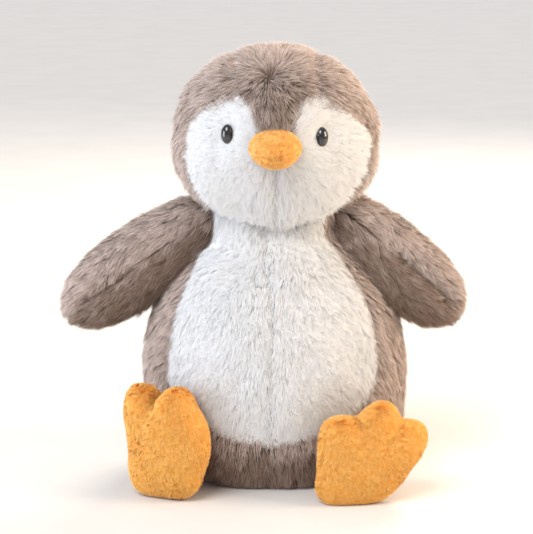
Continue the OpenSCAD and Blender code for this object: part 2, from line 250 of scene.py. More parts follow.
def grow(skin, pile, seed):
    """Blades of pile on a skin: points, normals, share of the way up and tone, five for each blade."""
    rng = np.random.default_rng(seed)
    tri = triangles_of(skin.faces)
    a, b, c = (skin.points[tri[:, k]] for k in range(3))
    area = np.linalg.norm(np.cross(b - a, c - a), axis=1) / 2
    total = np.cumsum(area * skin.cover[tri].min(axis=1))
    count = min(int(total[-1] * pile.density), MOST_BLADES)
    picked = tri[np.searchsorted(total, (np.arange(count) + rng.random(count)) / count * total[-1])]
    u, v = rng.random(count), rng.random(count)
    folded = u + v > 1
    u[folded], v[folded] = 1 - u[folded], 1 - v[folded]
    weights = np.stack([1 - u - v, u, v], axis=1)

    def at_roots(values):
        return np.einsum("ij,ij...->i...", weights, values[picked])

    root = at_roots(skin.points)
    normal = unit(at_roots(skin.normals))
    flow = unit(at_roots(skin.flow))
    centres = rng.choice(count, max(1, int(total[-1] / pile.clump_size ** 2)), replace=False)
    clump = nearest(root, centres)
    per_clump = rng.normal(size=(len(centres), 3))
    sway = pile.swirl * waves(root, 26, seed + 1) + pile.jitter * rng.normal(size=count)
    sway += 0.7 * pile.jitter * per_clump[clump, 0]
    flow = turned(flow, normal, np.radians(sway))
    length = pile.length * at_roots(skin.length) * rng.uniform(0.75, 1.15, count)
    lift = pile.loft * (rng.normal(size=count) + per_clump[clump, 1])
    path = [root]
    for lean, share in ((pile.lean, 0.5), (pile.tip_lean, 0.5)):
        angle = np.radians(lean + lift)[:, None]
        path.append(path[-1] + (length * share)[:, None] * (normal * np.cos(angle) + flow * np.sin(angle)))
    pull = (pile.clump * np.clip(1 + 0.5 * per_clump[clump, 2], 0.2, 1.8))[:, None]
    leader = centres[clump]
    mid = path[1] + 0.4 * pull * (path[1][leader] - path[1])
    tip = path[2] + pull * (path[2][leader] - path[2])
    along = unit(tip - root)
    side = unit(turned(unit(np.cross(along, normal)), along, np.radians(28) * rng.normal(size=count)))
    half = pile.width / 2 * rng.uniform(0.7, 1.25, count)[:, None]
    points = np.stack(
        [root - side * half, root + side * half, mid - side * half * 0.85, mid + side * half * 0.85, tip],
        axis=1,
    )
    points[..., 2] = np.maximum(points[..., 2], FLOOR_GAP)
    facing = unit(np.cross(side, along))
    facing = facing * np.sign(rows_dot(facing, normal) + 1e-6)
    shading = unit(mix(normal, facing, pile.shine))
    normals = np.repeat(shading[:, None, :], 5, axis=1)
    speckle = 0.13 * rng.normal(size=count) + 0.1 * per_clump[clump, 2]
    tone = 0.5 + pile.mottle * speckle + at_roots(skin.tone)
    tone = np.clip(tone, 0.02, 0.98)
    up = np.tile([0.05, 0.05, 0.55, 0.55, 1.0], (count, 1))
    return points.reshape(-1, 3), normals.reshape(-1, 3), up.ravel(), np.repeat(tone, 5)


def plush(name, body_or_bodies, skin, pile, slot, replaced):
    """Makes one sewn piece: its skin and its pile in one mesh, with the record's slot."""
    seed = next(SEED_PER_PIECE)
    blade_points, blade_normals, blade_up, blade_tone = grow(skin, pile, seed)
    base = len(skin.points)
    first = base + np.arange(0, len(blade_points), 5)
    quads = np.stack([first, first + 1, first + 3, first + 2], axis=1)
    tips = np.stack([first + 2, first + 3, first + 4], axis=1)
    if skin.faces.shape[1] == 4:
        quads = np.concatenate([skin.faces, quads])
    else:
        tips = np.concatenate([skin.faces, tips])
    points = np.concatenate([skin.points, blade_points])
    normals = np.concatenate([skin.normals, blade_normals])
    up = np.concatenate([np.zeros(base), blade_up])
    tone = np.concatenate([np.clip(0.5 + skin.tone, 0.02, 0.98), blade_tone])
    mesh = mesh_from(name, points, quads, tips)
    mesh.normals_split_custom_set_from_vertices(normals)
    strand = mesh.attributes.new("pile", "FLOAT_VECTOR", "POINT")
    strand.data.foreach_set("vector", np.stack([up, tone, np.zeros(len(up))], axis=1).ravel())
    uv = mesh.uv_layers.new(name="OFBake")
    corner = np.empty(len(mesh.loops), dtype=np.int32)
    mesh.loops.foreach_get("vertex_index", corner)
    uv.data.foreach_set("uv", np.stack([up[corner], tone[corner]], axis=1).ravel())
    mesh.materials.append(MATERIALS[slot])
    piece = add_object(name, mesh)
    if isinstance(body_or_bodies, str):
        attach(piece, body_or_bodies)
    else:
        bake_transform(piece)
    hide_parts(*replaced)


def mesh_from(name, points, quads, triangles):
    """A smooth mesh, in metres, from points in millimetres."""
    mesh = bpy.data.meshes.new(name)
    corners = np.concatenate([quads.ravel(), triangles.ravel()]).astype(np.int32)
    starts = np.concatenate([
        4 * np.arange(len(quads)),
        4 * len(quads) + 3 * np.arange(len(triangles)),
    ]).astype(np.int32)
    mesh.vertices.add(len(points))
    mesh.vertices.foreach_set("co", (np.asarray(points) * MM).ravel())
    mesh.loops.add(len(corners))
    mesh.loops.foreach_set("vertex_index", corners)
    mesh.polygons.add(len(starts))
    mesh.polygons.foreach_set("loop_start", starts)
    mesh.update(calc_edges=True)
    mesh.polygons.foreach_set("use_smooth", np.ones(len(starts), dtype=bool))
    return mesh


# ---- Materials ----

def new_material(name, roughness, **inputs):
    material = bpy.data.materials.new(name)
    material.use_nodes = True
    shader = material.node_tree.nodes["Principled BSDF"]
    shader.inputs["Roughness"].default_value = roughness
    for socket, value in inputs.items():
        shader.inputs[socket.replace("_", " ")].default_value = value
    return material, shader


def ramp(tree, stops):
    """A colour ramp through (position, red, green, blue) stops."""
    node = tree.nodes.new("ShaderNodeValToRGB")
    elements = node.color_ramp.elements
    while len(elements) < len(stops):
        elements.new(0.5)
    for element, (position, *colour) in zip(elements, stops):
        element.position = position
        element.color = (*colour, 1)
    return node


def pile_material(name, root, middle, tip, dark, light, roughness=0.85, sheen=0.25):
    """Pile whose colour runs from root to tip, times a tone from dark to light: each strand's own random
    tone, plus the painted light and shade set on its skin.
    """
    material, shader = new_material(name, roughness, Sheen_Weight=sheen, Sheen_Roughness=0.4)
    shader.inputs["Specular IOR Level"].default_value = 0.15
    tree = material.node_tree
    strand = tree.nodes.new("ShaderNodeAttribute")
    strand.attribute_name = "pile"
    split = tree.nodes.new("ShaderNodeSeparateXYZ")
    tree.links.new(strand.outputs["Vector"], split.inputs[0])
    along = ramp(tree, [(0, *root), (0.55, *middle), (1, *tip)])
    tone = ramp(tree, [(0.05, *dark), (0.5, 1, 1, 1), (0.95, *light)])
    tree.links.new(split.outputs["X"], along.inputs[0])
    tree.links.new(split.outputs["Y"], tone.inputs[0])
    both = tree.nodes.new("ShaderNodeMix")
    both.data_type = "RGBA"
    both.blend_type = "MULTIPLY"
    both.inputs["Factor"].default_value = 1
    tree.links.new(along.outputs[0], both.inputs["A"])
    tree.links.new(tone.outputs[0], both.inputs["B"])
    tree.links.new(both.outputs["Result"], shader.inputs["Base Color"])
    return material


def grain_material(name, colours, size, roughness, strength, **inputs):
    """A fine grain: noise between two colours, which also raises a small bump. size is in millimetres."""
    material, shader = new_material(name, roughness, **inputs)
    tree = material.node_tree
    place = tree.nodes.new("ShaderNodeTexCoord")
    grain = tree.nodes.new("ShaderNodeTexNoise")
    grain.inputs["Scale"].default_value = 1 / (size * MM)
    grain.inputs["Detail"].default_value = 6
    tree.links.new(place.outputs["Object"], grain.inputs["Vector"])
    colour = ramp(tree, [(0.35, *colours[0]), (0.65, *colours[1])])
    tree.links.new(grain.outputs[0], colour.inputs[0])
    tree.links.new(colour.outputs[0], shader.inputs["Base Color"])
    relief = tree.nodes.new("ShaderNodeBump")
    relief.inputs["Strength"].default_value = strength
    relief.inputs["Distance"].default_value = size * MM
    tree.links.new(grain.outputs[0], relief.inputs["Height"])
    tree.links.new(relief.outputs[0], shader.inputs["Normal"])
    return material


MATERIALS = {
    "grey_pile": pile_material(
        "grey_pile", (0.14, 0.095, 0.075), (0.42, 0.325, 0.28), (0.75, 0.63, 0.57),
        # dark end: the warm brown of the painted shade under the wings, low on the torso and in the
        # creases, and of the darkest strands; light end: the lightest strands and the painted light on the
        # crown
        (0.46, 0.40, 0.35), (1.3, 1.3, 1.3)),
    "white_pile": pile_material(
        "white_pile", (0.79, 0.785, 0.78), (0.84, 0.84, 0.84), (0.87, 0.87, 0.87),
        (0.78, 0.77, 0.77), (1.0, 1.0, 1.0), sheen=0.1),
    "orange_plush": pile_material(
        "orange_plush", (0.96, 0.45, 0.085), (0.98, 0.47, 0.095), (1.0, 0.60, 0.18),
        (0.92, 0.78, 0.55), (1.0, 1.12, 1.4), sheen=0.2),
    "beak_plush": pile_material(
        "beak_plush", (0.90, 0.42, 0.09), (0.94, 0.48, 0.12), (0.98, 0.60, 0.21),
        (0.75, 0.55, 0.35), (1.1, 1.2, 1.4), sheen=0.2),
    "eye": grain_material("eye", ((0.006, 0.006, 0.007), (0.009, 0.008, 0.008)), 2.0, 0.07, 0.0,
                          Coat_Weight=1.0, Coat_Roughness=0.03),
    "washer": grain_material("washer", ((0.82, 0.82, 0.8), (0.88, 0.88, 0.86)), 0.6, 0.5, 0.15),
    "stuffing": grain_material("stuffing", ((0.78, 0.78, 0.76), (0.95, 0.95, 0.93)), 1.8, 0.95, 0.8),
    "pellet_cloth": grain_material("pellet_cloth", ((0.7, 0.7, 0.68), (0.85, 0.85, 0.82)), 0.5, 0.9, 0.6),
    "ribbon": grain_material("ribbon", ((0.86, 0.86, 0.85), (0.95, 0.95, 0.94)), 0.3, 0.45, 0.3),
}


# ---- Torso ----

TORSO_CENTRE = (0, 0, 60)
TORSO_TOP = 131
NECK_TOP = 154
SHOULDER_LEVEL = 120
SEAT_HALF_WIDTH = 58
BELLY_HALF_WIDTH = 73
BELLY_LEVEL = 57
TOP_HALF_WIDTH = 40
NECK_HALF_WIDTHS = (41.5, 36)    # at its foot and its top
TORSO_DEPTH_SHARE = 0.85    # the torso's depth, as a share of its width
BIB_LOW = 30                # where the white belly ends below
BIB_LEVEL = 70              # where it is widest, and stays so up to the neck
BIB_ANGLE = 54              # its half width there, in degrees round the torso
GREY_INSET = 4.2            # how far the cloth lies inside the outline that its pile fills
WHITE_INSET = 3.6
PANEL_GAP = 0.3             # degrees between two panels' edges


def torso_half_width(z):
    low = mix(SEAT_HALF_WIDTH, BELLY_HALF_WIDTH, np.sqrt(np.clip(1 - (1 - z / BELLY_LEVEL) ** 2, 0, 1)))
    up = np.clip((z - BELLY_LEVEL) / (TORSO_TOP - BELLY_LEVEL), 0, 1)
    high = mix(TOP_HALF_WIDTH, BELLY_HALF_WIDTH, (1 - up * up) ** 0.9)
    neck = mix(*NECK_HALF_WIDTHS, np.clip((z - TORSO_TOP) / (NECK_TOP - TORSO_TOP), 0, 1))
    body = np.where(z < BELLY_LEVEL, low, high)
    return np.maximum(body, np.where(z > SHOULDER_LEVEL, neck, 0))


def torso_point(angle, z, inset):
    """A point on the torso at an angle in degrees from the middle of the front."""
    half = torso_half_width(z)
    a = np.radians(angle)
    outward = np.stack([np.sin(a), -np.cos(a) * TORSO_DEPTH_SHARE, np.zeros_like(a)], axis=-1)
    point = half[..., None] * outward
    point[..., 2] = z
    swell = 1.1 * waves(point, 34, 11) + 0.5 * waves(point, 14, 12)
    inward = inset - swell
    point = point - inward[..., None] * unit(outward * [1, 1.2, 1])
    point[..., 2] = np.maximum(point[..., 2], 0.6)
    return point


def bib_edge(z):
    """The angle from the belly's middle out to its edge, in degrees."""
    below = np.clip((BIB_LEVEL - z) / (BIB_LEVEL - BIB_LOW), 0, 1)
    return np.maximum(0.5, BIB_ANGLE * np.sqrt(1 - below ** 2))


def bib_shift(z):
    """The angle of the belly's middle seam in degrees, below 0 as it lies to the penguin's right."""
    return -mix(2.0, 8.5, float(smooth(z, 100, 140)))


def beside_seam(points, reach):
    """1 on the belly's middle seam, falling to nothing beside it, at each point's level: the mask of the
    painted shade along the seam.
    """
    seam = torso_half_width(points[:, 2]) * np.sin(np.radians([bib_shift(z) for z in points[:, 2]]))
    return bump(points[:, 0] - seam, reach)


def torso_flow(points, spread):
    """Down, and a little outwards away from the middle of the front."""
    flow = np.zeros_like(points)
    flow[:, 2] = -1
    flow[:, 0] = spread * np.sign(points[:, 0]) * smooth(np.abs(points[:, 0]), 0, 40)
    flow[:, 1] = 0.2 * spread
    return flow


def add_torso():
    neck_turn = ("torso", "neck", (0, 0, TORSO_TOP), (0, 0, NECK_TOP - 4))
    bib_levels = BIB_LOW + (NECK_TOP - BIB_LOW) * np.linspace(0, 1, 44) ** 1.3
    back_levels = np.concatenate([np.linspace(1, BIB_LOW, 9)[:-1], bib_levels])
    for name, side in SIDES.items():
        points, faces, cover = panel(
            lambda angle, z, inset: torso_point(side * angle, z, inset),
            lambda z: bib_edge(z) + side * bib_shift(z), lambda z: 179.9, back_levels, 46, GREY_INSET,
            TORSO_CENTRE)
        # Painted shade: the back panels darken low down at the front, below the white belly and between the
        # feet.
        skin = Skin(points, faces, torso_flow(points, 0.4), cover=cover,
                    tone=-0.5 * smooth(-points[:, 2], -36, -14) * smooth(-points[:, 1], 0, 30))
        plush(f"back_{name}", neck_turn, skin, GREY_PILE, "grey_pile", [f"back_panel_{name}"])
        points, faces, cover = panel(
            lambda angle, z, inset: torso_point(side * angle, z, inset),
            lambda z: 0.1 + side * bib_shift(z),
            lambda z: max(bib_edge(z) - PANEL_GAP, 0.2) + side * bib_shift(z),
            bib_levels, 24, WHITE_INSET, TORSO_CENTRE, near_dip=0.3)
        # Painted shade: a faint dark line along the belly's middle seam.
        skin = Skin(points, faces, torso_flow(points, 0.5), cover=cover,
                    tone=-0.08 * beside_seam(points, 2.0))
        plush(f"belly_{name}", neck_turn, skin, WHITE_PILE, "white_pile", [f"belly_panel_{name}"])


# ---- Head ----

HEAD_CENTRE = np.array([0.0, -4.0, 187.0])
HEAD_HALF_WIDTH = 55
HEAD_RADIUS = 48.5
COWLICK = np.array([-4.0, -34.0, 225.0])
EYES = {"right": (28.4, 6.4), "left": (28.6, 4.2)}    # side angle and roll of each
FACE_LOW = -56         # the rolls between which the face lies
FACE_TOP = 31.8
FACE_WIDEST = -9       # the roll where it is widest
NAPE = 236             # the roll where the crown ends, over the nape
UNDER_HEAD = 38.0      # the side angle of the hood's edge, under the head


def head_outward(side_angle, roll):
    """The direction out of the head's centre. Both angles are head_point's."""
    s, r = np.radians(side_angle), np.radians(roll)
    return np.stack([np.sin(s), -np.cos(s) * np.cos(r), np.cos(s) * np.sin(r)], axis=-1)


def plain_head(outward):
    """The point of the head's plain oval in a direction."""
    return HEAD_CENTRE + outward * [HEAD_HALF_WIDTH, HEAD_RADIUS, HEAD_RADIUS]


def head_point(side_angle, roll, inset):
    """A point of the head, at angles in degrees: out from the middle plane, and up from straight ahead."""
    outward = head_outward(side_angle, roll)
    point = plain_head(outward)
    return point + (head_relief(point) - inset)[..., None] * outward


EYE_PLACES = {
    name: plain_head(head_outward(SIDES[name] * angle, roll)) for name, (angle, roll) in EYES.items()
}
HOOD_CREASE = ((45.5, -29, 199), (54.7, -5, 180))


def head_relief(point):
    """How far the stuffed head stands out of, or dips into, its plain oval."""
    relief = 0.9 * waves(point, 30, 21) + 0.4 * waves(point, 13, 22)
    x, z = point[..., 0], point[..., 2]
    front = point[..., 1] < -10
    chin = np.linalg.norm((point - [0, -26, 148]) * [0.8, 1, 1], axis=-1)
    relief = relief + 8.5 * bump(chin, 23)
    relief = relief - 4.4 * bump(segment_distance(point, *HOOD_CREASE), 3.6)
    behind_crease = np.linalg.norm(point - [53, 4, 193], axis=-1)
    relief = relief + 3.0 * bump(behind_crease, 11)
    for side in SIDES.values():
        cheek = np.linalg.norm(point - [side * 36, -26, 160], axis=-1)
        relief = relief + 4.2 * bump(cheek, 20)
        jaw = np.linalg.norm(point - [side * 50, -2, 168], axis=-1)
        relief = relief + (4.0 if side == LEFT else 2.6) * bump(jaw, 17)
    for place in EYE_PLACES.values():
        relief = relief - 2.4 * bump(np.linalg.norm(point - place, axis=-1), 7)
    face_seam = np.abs(x)
    relief = relief - 0.4 * bump(face_seam, 3.2) * front * (z < 182)
    brow = np.linalg.norm(point - [0, -46, 208], axis=-1)
    return relief + 1.6 * bump(brow, 16)


def face_outer(side, roll):
    """Outer edge of the white face, a little wider on the penguin's left."""
    half = 66 if side == LEFT else 58
    power = 2.5 if side == LEFT else 3.4
    if roll < FACE_WIDEST:
        return half * math.sqrt(1 - ((roll - FACE_WIDEST) / 60) ** 2)
    return half * max(0, 1 - ((roll - FACE_WIDEST) / 41) ** power) ** (1 / power)


def peak_edge(roll):
    """Edge of the grey peak, which widens from the beak up to the crown."""
    return mix(7.5, 11.5, float(smooth(roll, 2, 22))) + 12 * float(smooth(roll, 21, 36))


def face_inner(roll):
    """Inner edge of the white face: the middle seam below the beak, and beside the peak above it."""
    return mix(0.2, peak_edge(roll) + PANEL_GAP, float(smooth(roll, -7, 3)))


def hood_near(side, roll):
    """The hood's edge towards the face and, above and behind the face, towards the crown."""
    if roll < FACE_LOW or roll > NAPE:
        return UNDER_HEAD
    if roll < FACE_TOP:
        return max(face_outer(side, roll), peak_edge(roll)) + PANEL_GAP
    return peak_edge(roll) + PANEL_GAP


def away_from(points, place, sink=0.0):
    """Directions away from a place, with a downward share."""
    flow = unit(points - np.array(place))
    flow[:, 2] -= sink
    return flow


def add_head():
    face_rolls = np.linspace(FACE_LOW, FACE_TOP, 40)
    crown_rolls = np.linspace(FACE_TOP, NAPE, 62)
    hood_rolls = np.concatenate([
        np.linspace(-88, FACE_LOW, 10)[:-1], face_rolls, crown_rolls[1:], np.linspace(NAPE, 268, 10)[1:],
    ])
    peak_rolls = np.concatenate([np.linspace(2, FACE_TOP, 14)[:-1], crown_rolls])
    points, faces, cover = panel(
        head_point, lambda roll: -peak_edge(roll), lambda roll: peak_edge(roll), peak_rolls, 18,
        GREY_INSET, HEAD_CENTRE)
    skin = Skin(points, faces, parting(points), cover=cover, tone=head_painted_shading(points))
    plush("crown", "head", skin, GREY_PILE, "grey_pile", ["crown_gusset"])
    for name, side in SIDES.items():
        points, faces, cover = panel(
            lambda angle, roll, inset: head_point(side * angle, roll, inset),
            lambda roll: hood_near(side, roll), lambda roll: 89.7, hood_rolls, 26, GREY_INSET, HEAD_CENTRE)
        skin = Skin(points, faces, parting(points), cover=cover, length=hood_length(points),
                    tone=head_painted_shading(points))
        plush(f"hood_{name}", "head", skin, GREY_PILE, "grey_pile", [f"hood_panel_{name}"])
        points, faces, cover = panel(
            lambda angle, roll, inset: head_point(side * angle, roll, inset),
            face_inner, lambda roll: max(face_outer(side, roll), face_inner(roll) + 0.6), face_rolls, 28,
            WHITE_INSET, HEAD_CENTRE, near_dip=0.4)
        # Painted shade: a faint dark line along the face's middle seam below the beak.
        skin = Skin(points, faces, away_from(points, (0, -52, 186), 0.15), cover=cover,
                    length=face_length(points), tone=-0.05 * bump(points[:, 0], 2.0) * (points[:, 2] < 176))
        plush(f"face_{name}", "head", skin, WHITE_PILE, "white_pile", [f"face_panel_{name}"])


def head_painted_shading(points):
    """Painted light and shade on the head's grey pile: darker under the overhanging brow and in the hood's
    crease, lighter over the crown where the light falls from above.
    """
    brow = bump(np.linalg.norm(points - [0, -47, 207], axis=1), 22)
    crown = smooth(points[:, 2], 205, 232)
    # Painted shade under the brow and in the hood's crease, painted light over the crown; 0.06 lifts all of
    # it a little.
    return 0.06 + 0.1 * crown - 0.34 * brow - 0.8 * bump(segment_distance(points, *HOOD_CREASE), 4)


def hood_length(points):
    """Shorter pile in the hood's crease."""
    return 1 - 0.5 * bump(segment_distance(points, *HOOD_CREASE), 5)


def parting(points):
    """The pile's directions on the hood: away from the cowlick, and unruly close to it."""
    flow = away_from(points, COWLICK, 0.25)
    close = bump(np.linalg.norm(points - COWLICK, axis=1), 13)
    unruly = np.stack([waves(points, 9, seed) for seed in (31, 32, 33)], axis=-1)
    return flow + 1.2 * close[:, None] * unruly


def face_length(points):
    """Short pile round the eyes and the beak, longer at the cheeks."""
    near_eye = sum(bump(np.linalg.norm(points - place, axis=1), 9) for place in EYE_PLACES.values())
    near_beak = bump(np.linalg.norm(points - [0, -54, 187], axis=1), 16)
    cheek = smooth(np.abs(points[:, 0]), 34, 48) + smooth(-points[:, 2], -168, -150)
    return 1 - 0.6 * np.clip(near_eye, 0, 1) - 0.35 * near_beak + 0.3 * np.clip(cheek, 0, 1)


# ---- Closed stuffed shapes: wings and feet ----

LAST_CLOTH_FRAME = 15


def pillow(outline, half_thickness, rings=14, around=64, power=2.0):
    """A closed pillow in its own frame: across, thickness, up. Returns points and triangles."""
    angles = np.linspace(0, 2 * math.pi, around, endpoint=False)
    radii = outline(angles)
    shares = np.sin(np.linspace(0, math.pi / 2, rings + 1))[1:]
    points, faces = [], []
    for sign in (1, -1):
        start = len(points)
        points.append((0.0, sign * half_thickness, 0.0))
        for share in shares:
            rise = sign * half_thickness * (1 - share ** power) ** 0.5
            across, up = np.sin(angles) * radii * share, np.cos(angles) * radii * share
            points.extend(zip(across, [rise] * around, up))
        for i in range(around):
            j = (i + 1) % around
            first = (start, start + 1 + i, start + 1 + j)
            faces.append(first if sign < 0 else first[::-1])
            for ring in range(rings - 1):
                a, b = start + 1 + ring * around + i, start + 1 + ring * around + j
                c, d = b + around, a + around
                quad = ((a, d, c), (a, c, b))
                faces.extend(quad if sign < 0 else [t[::-1] for t in quad])
    return np.array(points), np.array(faces)


def inflated(points, faces, voxel, pressure, cap):
    """Voxel remesh, then a short cloth simulation with pressure, in which no point moves past the cap.

    Returns points and triangles.
    """
    piece = add_object("inflating", mesh_from("inflating", points, NO_QUADS, faces))
    remesh = piece.modifiers.new("remesh", "REMESH")
    remesh.mode = "VOXEL"
    remesh.voxel_size = voxel * MM
    settle(piece)
    before = vertex_array(piece.data)
    cloth = piece.modifiers.new("cloth", "CLOTH")
    cloth.settings.use_pressure = True
    cloth.settings.uniform_pressure_force = pressure
    cloth.settings.effector_weights.gravity = 0
    cloth.settings.quality = 6
    cloth.settings.tension_stiffness = 12
    cloth.settings.compression_stiffness = 12
    scene = bpy.context.scene
    for step in range(1, LAST_CLOTH_FRAME + 1):
        scene.frame_set(step)
    settle(piece)
    scene.frame_set(1)
    moved = vertex_array(piece.data) - before
    size = np.linalg.norm(moved, axis=1, keepdims=True)
    before = before + moved * np.minimum(1, cap / np.maximum(size, 1e-6))
    piece.data.vertices.foreach_set("co", (before * MM).ravel())
    piece.modifiers.new("finer", "SUBSURF").levels = 1
    triangulate = piece.modifiers.new("triangles", "TRIANGULATE")
    triangulate.min_vertices = 4
    settle(piece)
    mesh = piece.data
    points = vertex_array(mesh)
    corner = np.empty(len(mesh.loops), dtype=np.int32)
    mesh.loops.foreach_get("vertex_index", corner)
    bpy.data.objects.remove(piece)
    return points, corner.reshape(-1, 3)


def vertex_array(mesh):
    flat = np.empty(len(mesh.vertices) * 3)
    mesh.vertices.foreach_get("co", flat)
    return flat.reshape(-1, 3) / MM


def settle(piece):
    """Replaces a piece's mesh with what its modifiers make of it."""
    bpy.context.view_layer.update()
    shaped = piece.evaluated_get(bpy.context.evaluated_depsgraph_get())
    mesh = bpy.data.meshes.new_from_object(shaped)
    piece.modifiers.clear()
    piece.data = mesh


def part_of(points, faces, keep):
    """The faces that keep marks, with only their own points. Returns points, faces and old indices."""
    kept = faces[keep]
    used, fresh = np.unique(kept, return_inverse=True)
    return points[used], fresh.reshape(kept.shape), used


def core(name, points, faces, inset, replaced):
    """The filling of a stuffed shape: its skin's own shape, this far inside it."""
    inner = points - point_normals(points, faces) * inset
    mesh = mesh_from(name, inner, NO_QUADS, faces)
    mesh.materials.append(MATERIALS["stuffing"])
    piece = add_object(name, mesh)
    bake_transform(piece)
    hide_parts(replaced)


# ---- Wings ----

WINGS = {
    "right": {"place": (77.0, -10.0, 113.0), "slope": 36, "length": 42, "seam": 9, "crease": (-4, 33)},
    "left": {"place": (69.0, -10.0, 113.0), "slope": 40, "length": 38.5, "seam": 31, "crease": (-12, 30)},
}
WING_ROOT = 59
WING_HALF_WIDTH = 19
WING_HALF_THICKNESS = 11.5
WING_FULLNESS = 2.3                                # 2 would be an ellipse
WING_CORE_INSET = 4.0
HINGE_POINT = np.array([56.2, -10.0, 112.0])       # on the left wing's root
HINGE_NORMAL = np.array([0.8508, 0.0, 0.5255])     # out of the torso there
HINGE_REACH = 7                                    # the two points of the wing's bend tuple lie this far to both sides of the hinge


def wing_outline(angles, length):
    """A full oval: its tip points along an angle of 90 degrees, its root is longer."""
    reach = np.where(np.sin(angles) > 0, length, WING_ROOT)
    along = (np.abs(np.sin(angles)) / reach) ** WING_FULLNESS
    across = (np.abs(np.cos(angles)) / WING_HALF_WIDTH) ** WING_FULLNESS
    return (along + across) ** (-1 / WING_FULLNESS)


def inside_torso(points):
    """True for points that are under the torso's skin."""
    half = torso_half_width(points[:, 2]) - GREY_INSET
    return (points[:, 0] / half) ** 2 + (points[:, 1] / (TORSO_DEPTH_SHARE * half)) ** 2 < 1


def tilted(slope):
    """The matrix that turns a wing down from level by its slope in radians."""
    return np.array([
        [math.cos(slope), 0, math.sin(slope)],
        [0, 1, 0],
        [-math.sin(slope), 0, math.cos(slope)],
    ])


def add_wings():
    for name, side in SIDES.items():
        wing = WINGS[name]
        slope = math.radians(wing["slope"])
        points, faces = pillow(lambda angles: wing_outline(angles, wing["length"]), WING_HALF_THICKNESS)
        points, faces = inflated(points, faces, 4.5, 3.0, 4)
        seam = math.radians(wing["seam"])
        above_seam = points[:, 2] * math.cos(seam) + points[:, 1] * math.sin(seam)
        start, end = wing["crease"]
        along = points[:, 0]
        crease = smooth(along, start - 8, start + 8) * smooth(-along, -end - 4, -end + 6)
        inward = -unit(points * [0, 1, 1])
        points = points + inward * (4.6 * crease * bump(above_seam, 3.2))[:, None]
        # Painted light and shade: lighter along the top of the wing, darker over its underside below the
        # seam.
        tone = 0.05 * smooth(above_seam, 2, 14) - 0.5 * smooth(-above_seam, -5, 8)
        # Painted shade in the crease.
        tone -= 0.5 * crease * bump(above_seam, 2.4)
        length = 1 - 0.5 * crease * bump(above_seam, 4)
        points = (points @ tilted(slope).T + wing["place"]) * [side, 1, 1]
        if side == RIGHT:
            faces = faces[:, ::-1]
        tip_direction = np.array([side * math.cos(slope), 0, -math.sin(slope)])
        hinge = HINGE_POINT * [side, 1, 1]
        normal = HINGE_NORMAL * [side, 1, 1]
        bend = ("torso", f"wing_{name}", hinge - normal * HINGE_REACH, hinge + normal * HINGE_REACH)
        middle = above_seam[faces].mean(axis=1)
        for half, keep in (("front", middle < 0), ("back", middle >= 0)):
            own, own_faces, used = part_of(points, faces, keep)
            skin = Skin(own, own_faces, tip_direction + [0, 0, -0.12], cover=1.0 - inside_torso(own),
                        length=length[used], tone=tone[used])
            plush(f"wing_{name}_{half}_plush", bend, skin, GREY_PILE, "grey_pile", [f"wing_{name}_{half}"])
        core(f"wing_{name}_core", points, faces, WING_CORE_INSET, f"wing_{name}_stuffing")


# ---- Feet ----

def closed_curve(corners):
    """An outline function: the smooth closed curve through corners, by angle about the origin."""
    corners = np.array(corners, dtype=float)
    at = np.arctan2(corners[:, 0], corners[:, 1]) % (2 * math.pi)
    order = np.argsort(at)
    at, radius = at[order], np.linalg.norm(corners[order], axis=1)
    turns = np.concatenate([at - 2 * math.pi, at, at + 2 * math.pi])
    radii = np.tile(radius, 3)

    def outline(angles):
        k = np.clip(np.searchsorted(turns, angles, side="right") - 1, 1, len(turns) - 3)
        t = (angles - turns[k]) / (turns[k + 1] - turns[k])
        p0, p1, p2, p3 = radii[k - 1], radii[k], radii[k + 1], radii[k + 2]
        return 0.5 * (2 * p1 + (p2 - p0) * t + (2 * p0 - 5 * p1 + 4 * p2 - p3) * t ** 2
                      + (3 * p1 - p0 - 3 * p2 + p3) * t ** 3)

    return outline


# Each foot's own frame is across, back and up. Its corners and valleys are (across, up).
FEET = {
    "left": {
        "place": (51.5, -70.0, 27.5),
        "turn": 5,
        "corners": [(-28, 10), (-25, 16), (-20, 18), (-12, 18), (-7.5, 17), (-3, 22), (2.5, 25.5), (9, 25),
                    (13, 20), (12, 12.5), (18, 15.5), (24, 15), (28.5, 9.5), (27.5, 2), (20, -9.5),
                    (13, -19), (5, -25.5), (-4, -28), (-14, -28.5), (-25, -27.5), (-30, -22),
                    (-29.5, -12), (-29, 0)],
        "valleys": [((12.5, 14), (6, 4)), ((-7.5, 18), (-9, 8))],
        "ankle": ((-8, 6, -9), (-14, 24, -4)),
    },
    "right": {
        "place": (-57.5, -61.0, 30.0),
        "turn": -28,
        "corners": [(-25, 19), (-22.5, 27), (-14, 29), (-8.5, 25.5), (-5.5, 17), (-1, 26), (6, 30),
                    (11, 27), (15.5, 19.5), (21, 13), (24, 4), (24, -8), (21.5, -16), (20.5, -22),
                    (15, -28), (5, -29.5), (-5, -30), (-14, -28.5), (-18.5, -22), (-20, -10), (-22, 2),
                    (-24.5, 10)],
        "valleys": [((-5.5, 19), (-8, 7))],
        "ankle": ((-2, 6, -9), (-2, 22, -6)),
    },
}
FOOT_HALF_THICKNESS = 13
FOOT_TILT = math.radians(-7)
FOOT_BEND_END = (0, 6, -10.0)    # in the foot's own frame: the second point of the foot's bend tuple
FOOT_BRUSHED = (0.2, 0.5, -1.0)
FOOT_CORE_INSET = 2.5
FOOT_FLOOR_GAP = 0.8
ANKLE_RADIUS = 13


